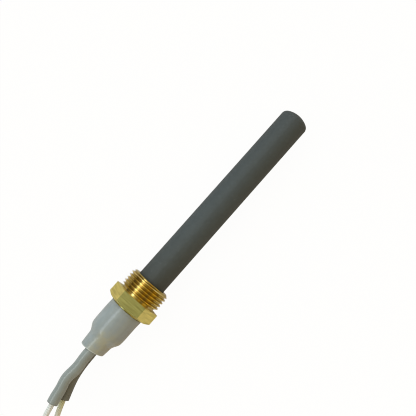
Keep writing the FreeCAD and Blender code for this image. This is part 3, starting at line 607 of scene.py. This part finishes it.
class Look(Graph):
    """Material of one piece, textured in its own frame's mm or in its unrolled UVs."""

    def __init__(self, name, piece, unrolled=False):
        material = bpy.data.materials.new(name)
        super().__init__(material)
        self.shader = self.node("ShaderNodeBsdfPrincipled")
        self.node("ShaderNodeOutputMaterial", {0: self.shader.outputs[0]})
        source = self.node("ShaderNodeTexCoord").outputs["UV" if unrolled else "Object"]
        inputs = {0: source, "Scale": 1.0 if unrolled else 1000.0}
        self.place = self.node("ShaderNodeVectorMath", inputs, operation="SCALE").outputs[0]
        self.normal = None
        mesh = bpy.data.objects[piece].data
        mesh.materials.clear()
        mesh.materials.append(material)
        for polygon in mesh.polygons:
            polygon.material_index = 0

    @cached_property
    def axes(self):
        """x, y and z of the texture place."""
        return self.node("ShaderNodeSeparateXYZ", {0: self.place}).outputs

    def math(self, operation, first, second=0.0):
        inputs = {0: first, 1: second, 2: 0.0}
        return self.node("ShaderNodeMath", inputs, operation=operation).outputs[0]

    def scaled(self, value, by):
        return self.math("MULTIPLY", value, by)

    def stretched(self, factors):
        """Texture place multiplied per axis; a small factor draws marks out along that axis."""
        if factors is None:
            return self.place
        inputs = {0: self.place, 1: factors}
        return self.node("ShaderNodeVectorMath", inputs, operation="MULTIPLY").outputs[0]

    def noise(self, scale, detail=2.0, rough=0.5, stretch=None):
        place = self.stretched(stretch)
        inputs = {"Vector": place, "Scale": scale, "Detail": detail, "Roughness": rough}
        return self.node("ShaderNodeTexNoise", inputs).outputs["Fac"]

    def cells(self, scale, stretch):
        inputs = {"Vector": self.stretched(stretch), "Scale": scale}
        return self.node("ShaderNodeTexVoronoi", inputs).outputs["Distance"]

    def surface(self, colour, **inputs):
        """Sets the shader's colour and its other inputs, underscores standing for spaces."""
        self.put(paint(colour), self.shader.inputs["Base Color"])
        for name, value in inputs.items():
            self.put(value, self.shader.inputs[name.replace("_", " ")])

    def bevel(self, radius):
        inputs = {"Radius": radius * MM}
        return self.node("ShaderNodeBevel", inputs, samples=6).outputs[0]

    def bump(self, height, depth):
        """Bump depth mm deep, on top of earlier bumps."""
        inputs = {"Strength": 1.0, "Distance": depth * MM, "Height": height}
        if self.normal is not None:
            inputs["Normal"] = self.normal
        self.normal = self.node("ShaderNodeBump", inputs).outputs[0]
        self.put(self.normal, self.shader.inputs["Normal"])


# ---------------------------------------------------------------- materials
def ceramic():
    """Fired ceramic: near-black, matt, with faint drawn marks and light specks, the specks being
    painted highlight sparkles.
    """
    look = Look("sheath_ceramic_look", "ceramic_sheath")
    x = look.axes[0]
    cloud = look.noise(scale=0.35, detail=3.0)
    grain = look.noise(scale=9.0, detail=3.0, rough=0.6)
    drawn = look.noise(scale=6.0, rough=0.6, stretch=(0.06, 1.0, 1.0))
    clouded = look.remap(cloud, over=(0.35, 0.65))
    base = look.mix(clouded, low=(0.058, 0.068, 0.070), high=(0.069, 0.080, 0.081))
    # Darker towards the tip, and towards the fitting
    base = look.mix(look.remap(x, over=(10.0, 93.0)), base, high=(0.054, 0.060, 0.060))
    base = look.mix(look.remap(x, over=(34.0, 8.0)), base, high=(0.050, 0.052, 0.047))
    grainy = look.remap(grain, over=(0.30, 0.70), to=(0.0, 0.45))
    base = look.mix(grainy, base, high=(0.088, 0.096, 0.095))
    marks = look.remap(drawn, over=(0.55, 0.75), to=(0.0, 0.25))
    base = look.mix(marks, base, high=(0.105, 0.112, 0.110))
    # Painted highlight sparkles: light specks, in patches only
    dots = look.cells(scale=1.15, stretch=(0.55, 1.0, 1.0))
    patches = look.remap(look.noise(scale=0.16), over=(0.56, 0.64))
    painted_sparkles = look.math("MULTIPLY", look.remap(dots, over=(0.10, 0.04)), patches)
    base = look.mix(look.scaled(painted_sparkles, by=0.55), base, high=(0.34, 0.36, 0.36))
    roughness = look.remap(grain, over=(0.3, 0.7), to=(0.54, 0.68))
    look.surface(base, Roughness=roughness, Specular_IOR_Level=0.36)
    look.bump(grain, depth=0.014)
    look.bump(drawn, depth=0.008)


def brass():
    """Brass: turned thread on the +X side, milled hexagon with fine lines on the -X side."""
    look = Look("brass_look", "brass_fitting")
    x, y, z = look.axes
    hexagon = look.remap(x, over=(-0.02, -0.04))
    fine_lines = look.noise(scale=1.0, detail=3.0, rough=0.65, stretch=(14.0, 0.30, 0.30))
    broad_lines = look.noise(scale=1.0, stretch=(2.6, 0.16, 0.16))
    fine = look.noise(scale=5.0, detail=3.0, rough=0.55)
    smear = look.noise(scale=0.5, detail=3.0)

    def all_lines():
        return look.math("ADD", fine_lines, broad_lines)

    def milled(low, high):
        """Colour varied by the milling lines."""
        lines = look.remap(look.scaled(all_lines(), by=0.5), over=(0.38, 0.60))
        return look.mix(lines, low, high)

    smeared = look.remap(smear, over=(0.35, 0.7))
    gold = look.mix(smeared, low=(0.83, 0.64, 0.20), high=(0.88, 0.70, 0.25))
    squares = look.math("ADD", look.math("MULTIPLY", y, y), look.math("MULTIPLY", z, z))
    radius = look.math("SQRT", squares)
    thread = look.remap(x, over=(1.0, 1.4))
    # Painted shade: the thread's roots are darkened by radius, drawing dark lines between the
    # crests
    painted_root_shade = look.math("MULTIPLY", look.remap(radius, over=(8.28, 8.00)), thread)
    gold = look.mix(look.scaled(painted_root_shade, by=0.80), gold, high=(0.46, 0.36, 0.12))

    satin = milled(low=(0.58, 0.50, 0.142), high=(0.96, 0.82, 0.258))
    # Painted shade: hexagon flats facing straight up or down get a darker colour, standing in for
    # the dark reflection they catch
    true_normal = look.node("ShaderNodeNewGeometry").outputs["True Normal"]
    facing = look.node("ShaderNodeSeparateXYZ", {0: true_normal}).outputs[2]
    level = look.remap(look.math("ABSOLUTE", facing), over=(0.90, 0.97))
    painted_flat_shade = milled(low=(0.31, 0.32, 0.132), high=(0.51, 0.525, 0.24))
    satin = look.mix(level, satin, painted_flat_shade)

    # Low radius short of the thread: this groove is darkened with painted shade, and is a little
    # smoother
    short = look.math("SUBTRACT", 1.0, look.remap(x, over=(1.2, 1.5)))
    painted_shade_groove = look.math("MULTIPLY", look.remap(radius, over=(7.60, 7.40)), short)
    gold = look.mix(look.scaled(painted_shade_groove, by=0.75), gold, high=(0.34, 0.25, 0.09))
    tone = look.mix(hexagon, gold, satin)
    stains = look.remap(fine, over=(0.62, 0.80), to=(0.0, 0.30))
    tone = look.mix(stains, tone, high=(0.50, 0.34, 0.10))

    by_part = look.remap(hexagon, over=(0.0, 1.0), to=(0.10, 0.34))
    by_part = look.math("SUBTRACT", by_part, look.scaled(painted_shade_groove, by=0.03))
    by_grain = look.remap(fine, over=(0.3, 0.7), to=(-0.02, 0.05))
    look.surface(tone, Metallic=1.0, Roughness=look.math("ADD", by_part, by_grain))

    # Only the hexagon's edges are rounded
    plain = look.node("ShaderNodeNewGeometry").outputs["Normal"]
    normals = {0: hexagon, 4: plain, 5: look.bevel(radius=0.05)}
    look.normal = look.node("ShaderNodeMix", normals, data_type="VECTOR").outputs[1]
    look.bump(look.math("MULTIPLY", all_lines(), hexagon), depth=0.018)
    turning = look.noise(scale=1.0, detail=1.0, stretch=(22.0, 0.4, 0.4))
    off_hexagon = look.math("SUBTRACT", 1.0, hexagon)
    look.bump(look.math("MULTIPLY", turning, off_hexagon), depth=0.0015)


def painted_warm_light(look, base):
    """Painted warm light round the boot's shoulder, uneven and fading towards +Y."""
    x, y, _ = look.axes
    rise = look.remap(x, over=(-27.0, -22.9), smooth=True)
    fall = look.remap(x, over=(-17.9, -13.3), to=(1.0, 0.0), smooth=True)
    amount = look.math("MULTIPLY", rise, fall)
    uneven = look.remap(look.noise(scale=0.30), over=(0.35, 0.62), to=(0.25, 1.0))
    amount = look.math("MULTIPLY", amount, uneven)
    sideways = look.remap(y, over=(2.8, 0.6), to=(0.12, 1.0), smooth=True)
    amount = look.math("MULTIPLY", amount, sideways)
    return look.mix(amount, base, high=(0.375, 0.350, 0.260))


def pale_lip_painted_highlight(look, base):
    """Painted highlight along the cut edge of the boot's mouth, whose cut face is also paler; it
    follows the mouth's slant.
    """
    x, y, z = look.axes
    place = look.math("ADD", x, look.scaled(y, by=MOUTH_SLANT[0]))
    place = look.math("ADD", place, look.scaled(z, by=MOUTH_SLANT[1]))
    edge = look.remap(place, over=(-24.33, -24.43))
    return look.mix(edge, base, high=(0.50, 0.49, 0.43))


def heatshrink(name, piece, low, high, roughness, cloud_scale, is_boot=False):
    look = Look(name, piece)
    cloud = look.noise(scale=cloud_scale, detail=3.0)
    grain = look.noise(scale=11.0, detail=3.0, rough=0.6)
    drawn = look.noise(scale=2.2, rough=0.6, stretch=(0.10, 1.0, 1.0))
    base = look.mix(look.remap(cloud, over=(0.35, 0.65)), low, high)
    if is_boot:
        base = painted_warm_light(look, base)
    grainy = look.remap(grain, over=(0.35, 0.75), to=(0.0, 0.16))
    base = look.mix(grainy, base, high=tuple(c * 1.25 for c in high))
    if is_boot:
        base = pale_lip_painted_highlight(look, base)
    varied = look.remap(drawn, over=(0.3, 0.7), to=(roughness - 0.04, roughness + 0.05))
    look.surface(base, Roughness=varied, Specular_IOR_Level=0.45)
    look.bump(grain, depth=0.003)
    look.bump(drawn, depth=0.003)


def braid(side, tint):
    """Woven glass yarn: fibres run along each strand."""
    look = Look(f"braid_{side}_look", f"lead_{side}_cover", unrolled=True)
    fibre = look.noise(scale=1.0, rough=0.6, stretch=(1.6, 30.0, 1.0))
    soil = look.noise(scale=0.35, detail=3.0)
    dark = tuple(c * 0.80 for c in tint)
    base = look.mix(look.remap(fibre, over=(0.3, 0.7)), dark, tint)
    soiled = look.remap(soil, over=(0.50, 0.80), to=(0.0, 0.35))
    base = look.mix(soiled, base, high=(0.70, 0.63, 0.42))
    if side == "b":
        # Yellowed towards the sleeve, by x in the object's frame
        place = look.node("ShaderNodeTexCoord").outputs["Object"]
        x = look.node("ShaderNodeSeparateXYZ", {0: place}).outputs[0]
        yellowed = look.remap(look.scaled(x, by=1000.0), over=(-51.4, -47.0), to=(0.0, 0.75))
        base = look.mix(yellowed, base, high=(0.62, 0.58, 0.28))
    look.surface(base, Roughness=0.62, Specular_IOR_Level=0.4, Sheen_Weight=0.25)
    look.bump(fibre, depth=0.012)


def collar_look(side):
    look = Look(f"collar_{side}_look", f"collar_{side}_sleeve")
    cloud = look.noise(scale=2.5, detail=3.0)
    colour = look.mix(
        look.remap(cloud, over=(0.3, 0.7)), low=(0.60, 0.60, 0.58), high=(0.68, 0.68, 0.66)
    )
    look.surface(colour, Roughness=look.remap(cloud, over=(0.3, 0.7), to=(0.34, 0.44)))
    look.bump(look.noise(scale=9.0), depth=0.008)


def grained(
    name, piece, low, high, roughness, depth, scale,
    detail=3.0, rough=0.6, stretch=None, metallic=0.0, unrolled=False, bevel=None,
):
    """One noise drives colour, bump and, where roughness is a (low, high) pair, roughness."""
    look = Look(name, piece, unrolled)
    grain = look.noise(scale, detail, rough, stretch)
    if isinstance(roughness, tuple):
        roughness = look.remap(grain, over=(0.3, 0.7), to=roughness)
    colour = look.mix(look.remap(grain, over=(0.3, 0.7)), low, high)
    look.surface(colour, Roughness=roughness, Metallic=metallic)
    if bevel:
        look.normal = look.bevel(bevel)
    look.bump(grain, depth)


def lead_looks(side, tint):
    braid(side, tint)
    grained(
        f"jacket_{side}_look", f"lead_{side}_jacket", unrolled=True, roughness=0.5,
        low=(0.66, 0.65, 0.60), high=(0.80, 0.79, 0.74), depth=0.02, scale=3.0, rough=0.5,
    )
    grained(
        f"core_{side}_look", f"lead_{side}_core", unrolled=True, metallic=1.0,
        low=(0.56, 0.55, 0.54), high=(0.80, 0.79, 0.78), roughness=(0.22, 0.42),
        depth=0.006, scale=2.0, stretch=(0.4, 12.0, 1.0),
    )
    grained(
        f"ferrule_{side}_look", f"ferrule_{side}_tube", metallic=1.0,
        low=(0.62, 0.63, 0.64), high=(0.82, 0.82, 0.82), roughness=(0.20, 0.36),
        depth=0.008, scale=4.0,
    )
    collar_look(side)
    grained(
        f"crimp_{side}_look", "crimp_" + side, metallic=1.0, bevel=0.08,
        low=(0.60, 0.60, 0.60), high=(0.78, 0.78, 0.77), roughness=(0.25, 0.4),
        depth=0.02, scale=3.0, stretch=(0.5, 1.0, 1.0),
    )
    grained(
        f"pin_{side}_look", "terminal_pin_" + side, metallic=1.0,
        low=(0.50, 0.48, 0.44), high=(0.68, 0.66, 0.61), roughness=(0.22, 0.38),
        depth=0.006, scale=5.0, detail=2.0, stretch=(0.08, 1.0, 1.0),
    )


# Inner filling pieces: (name, piece, low colour, high colour, roughness, bump depth, scale)
FILLINGS = [
    ("end_plug_look", "end_plug",
     (0.72, 0.70, 0.66), (0.84, 0.82, 0.78), (0.59, 0.71), 0.02, 6.0),
    ("potting_look", "rear_potting",
     (0.40, 0.37, 0.32), (0.58, 0.55, 0.48), (0.69, 0.81), 0.05, 4.0),
    ("silicone_look", "silicone_plug",
     (0.42, 0.14, 0.09), (0.56, 0.20, 0.13), (0.39, 0.51), 0.02, 3.0),
    ("powder_look", "powder_fill",
     (0.74, 0.73, 0.70), (0.90, 0.89, 0.86), (0.84, 0.96), 0.03, 12.0),
]


def looks():
    ceramic()
    brass()
    grained(
        "cement_look", "front_cement_ring", low=(0.030, 0.028, 0.024),
        high=(0.075, 0.070, 0.060), roughness=0.9, depth=0.06, scale=7.0, detail=4.0, rough=0.65,
    )
    heatshrink(
        "boot_look", "boot_shell", low=(0.290, 0.305, 0.295), high=(0.325, 0.340, 0.330),
        roughness=0.17, cloud_scale=0.22, is_boot=True,
    )
    heatshrink(
        "sleeve_a_look", "sleeve_a_shell", low=(0.262, 0.274, 0.254),
        high=(0.298, 0.311, 0.288), roughness=0.18, cloud_scale=0.308,
    )
    heatshrink(
        "sleeve_b_look", "sleeve_b_shell", low=(0.145, 0.142, 0.120),
        high=(0.175, 0.170, 0.145), roughness=0.46, cloud_scale=0.308,
    )
    lead_looks("a", tint=(0.87, 0.84, 0.77))
    lead_looks("b", tint=(0.83, 0.79, 0.66))
    for part in ("coil_a", "coil_b", "bridge"):
        grained(
            part + "_look", "element_" + part, metallic=1.0,
            low=(0.16, 0.16, 0.17), high=(0.30, 0.30, 0.31), roughness=(0.32, 0.44),
            depth=0.006, scale=6.0, detail=4.0,
        )
    for row in FILLINGS:
        grained(*row, detail=4.0)


# ---------------------------------------------------------------- floor
FLOOR_LEVEL = -8.52
FLOOR_REACH = 1500


def floor():
    """Level floor that glows near white to the camera and is clear from below."""
    corners = [(-1, -1), (1, -1), (1, 1), (-1, 1)]
    points = [(x * FLOOR_REACH, y * FLOOR_REACH, FLOOR_LEVEL) for x, y in corners]
    piece = build("floor", points, [(0, 1, 2, 3)], smooth=False)
    material = bpy.data.materials.new("floor_look")
    graph = Graph(material)
    matt = graph.node("ShaderNodeBsdfDiffuse", {"Color": (0.68, 0.59, 0.52, 1)})
    glow = graph.node("ShaderNodeEmission", {"Color": (1.0, 1.0, 0.995, 1), "Strength": 1.03})
    to_camera = graph.node("ShaderNodeLightPath").outputs["Is Camera Ray"]
    share = graph.remap(to_camera, over=(0.0, 1.0), to=(0.10, 0.93))
    top = graph.node("ShaderNodeMixShader", {0: share, 1: matt.outputs[0], 2: glow.outputs[0]})
    below = graph.node("ShaderNodeNewGeometry").outputs["Backfacing"]
    clear = graph.node("ShaderNodeBsdfTransparent")
    both = graph.node("ShaderNodeMixShader", {0: below, 1: top.outputs[0], 2: clear.outputs[0]})
    graph.node("ShaderNodeOutputMaterial", {0: both.outputs[0]})
    piece.data.materials.append(material)


# ---------------------------------------------------------------- surround
# Light by angle about X: (degrees, colour); 0 is overhead, +90 towards +Y, -90 towards -Y
MIRROR_SIDES = [
    (-180, (1.0, 1.0, 1.0)), (-98, (1.0, 0.97, 0.92)), (-90, (0.40, 0.28, 0.12)),
    (-79, (0.33, 0.22, 0.08)), (-66, (0.66, 0.52, 0.15)), (-54, (0.86, 0.60, 0.11)),
    (-46, (0.56, 0.40, 0.11)), (-40, (0.32, 0.26, 0.12)), (-32, (0.22, 0.19, 0.12)),
    (-24, (0.46, 0.33, 0.10)), (-17, (0.74, 0.53, 0.10)), (-10, (0.48, 0.34, 0.10)),
    (0, (0.40, 0.33, 0.17)), (8, (0.55, 0.47, 0.28)), (14, (0.95, 0.86, 0.48)),
    (24, (1.25, 1.18, 0.78)), (28, (3.4, 3.6, 3.6)), (38, (3.4, 3.6, 3.6)),
    (43, (0.50, 0.52, 0.55)), (52, (0.58, 0.48, 0.25)), (66, (0.38, 0.30, 0.15)),
    (80, (0.18, 0.15, 0.10)), (92, (0.12, 0.11, 0.10)), (99, (1.0, 1.0, 1.0)),
    (180, (1.0, 1.0, 1.0)),
]
MIRROR_ENDS = [
    (-180, (1.0, 1.0, 1.0)), (-95, (0.8, 0.7, 0.55)), (-80, (0.45, 0.28, 0.10)),
    (-20, (0.62, 0.40, 0.16)), (0, (0.42, 0.40, 0.34)), (20, (0.60, 0.58, 0.52)),
    (36, (1.3, 1.3, 1.3)), (50, (0.50, 0.50, 0.48)), (75, (0.16, 0.15, 0.13)),
    (95, (0.8, 0.8, 0.78)), (180, (1.0, 1.0, 1.0)),
]
SOFT_LIGHT = [
    (-180, (0.8, 0.8, 0.8)), (-95, (0.62, 0.55, 0.45)), (-85, (0.40, 0.30, 0.14)),
    (-40, (0.55, 0.44, 0.25)), (0, (0.90, 0.95, 0.94)), (30, (1.14, 1.30, 1.35)),
    (60, (1.12, 1.34, 1.46)), (90, (1.00, 1.20, 1.30)), (180, (0.8, 0.8, 0.8)),
]
RAMP_TOP = 6.0  # ramps hold colours divided by this, and are scaled back up


def light_ramp(graph, turn, stops):
    node = graph.node("ShaderNodeValToRGB", {0: turn})
    node.color_ramp.interpolation = "LINEAR"
    elements = node.color_ramp.elements
    colours = [(*[c / RAMP_TOP for c in colour], 1) for _, colour in stops]
    elements[0].position, elements[0].color = 0.0, colours[0]
    elements[-1].position, elements[-1].color = 1.0, colours[-1]
    for (degrees, _), colour in zip(stops[1:-1], colours[1:-1]):
        elements.new((degrees + 180) / 360).color = colour
    inputs = {0: node.outputs[0], "Scale": RAMP_TOP}
    return graph.node("ShaderNodeVectorMath", inputs, operation="SCALE").outputs[0]


def surround():
    """Banded studio for glossy rays, soft light for the rest, near white to the camera."""
    world = bpy.data.worlds.new("studio")
    bpy.context.scene.world = world
    graph = Graph(world)
    direction = graph.node("ShaderNodeTexCoord").outputs["Generated"]
    x, y, z = graph.node("ShaderNodeSeparateXYZ", {0: direction}).outputs
    angle = graph.node("ShaderNodeMath", {0: y, 1: z}, operation="ARCTAN2").outputs[0]
    turn = graph.remap(angle, over=(-math.pi, math.pi))
    sides = light_ramp(graph, turn, MIRROR_SIDES)
    ends = light_ramp(graph, turn, MIRROR_ENDS)
    soft = light_ramp(graph, turn, SOFT_LIGHT)
    endwise = graph.node("ShaderNodeMath", {0: x}, operation="ABSOLUTE").outputs[0]
    mirror = graph.mix(graph.remap(endwise, over=(0.80, 0.92)), sides, ends)
    ray = graph.node("ShaderNodeLightPath").outputs
    light = graph.mix(ray["Is Glossy Ray"], soft, mirror)
    seen = graph.mix(ray["Is Camera Ray"], light, high=(0.98, 0.98, 0.975))
    background = graph.node("ShaderNodeBackground", {"Color": seen, "Strength": 1.0})
    graph.node("ShaderNodeOutputWorld", {0: background.outputs[0]})


# ---------------------------------------------------------------- camera
HEADING_COS, HEADING_SIN = 0.6638, 0.7480  # of the probe's axis in the view
TILT = math.radians(5.3)
ROLL = math.radians(-2.5)
PROBE_IN_VIEW = np.array([-26.263, 33.686, 215.4])  # origin: right, down, ahead of the camera


def camera():
    """50 mm lens looking almost straight down, the rod running up to the right."""
    c, s = math.cos(TILT), math.sin(TILT)
    # Rows are the view's right, down and ahead directions
    view = np.array([
        [HEADING_COS * c, -HEADING_SIN, HEADING_COS * s],
        [-HEADING_SIN * c, -HEADING_COS, -HEADING_SIN * s],
        [s, 0.0, -c],
    ])
    c, s = math.cos(ROLL), math.sin(ROLL)
    view = view @ np.array([[1, 0, 0], [0, c, -s], [0, s, c]])
    pose = np.eye(4)
    # The camera's own axes are right, up and backwards
    pose[:3, :3] = np.array([view[0], -view[1], -view[2]]).T
    pose[:3, 3] = -view.T @ PROBE_IN_VIEW * MM
    lens = bpy.data.cameras.new("camera")
    lens.lens = 50
    lens.sensor_width = 36
    lens.clip_start, lens.clip_end = 0.01, 20
    piece = bpy.data.objects.new("camera", lens)
    scene = bpy.context.scene
    scene.collection.objects.link(piece)
    piece.matrix_world = Matrix(pose.tolist())
    scene.camera = piece


def render_settings():
    scene = bpy.context.scene
    scene.view_settings.view_transform = "Standard"
    scene.view_settings.look = "None"
    scene.view_settings.exposure = 0.0
    scene.view_settings.gamma = 1.0
    scene.cycles.filter_width = 1.05


boot()
for lead in LEADS:
    for make in (sleeve, cover, jacket, core, ferrule, collar):
        make(lead)
looks()
floor()
surround()
render_settings()
camera()
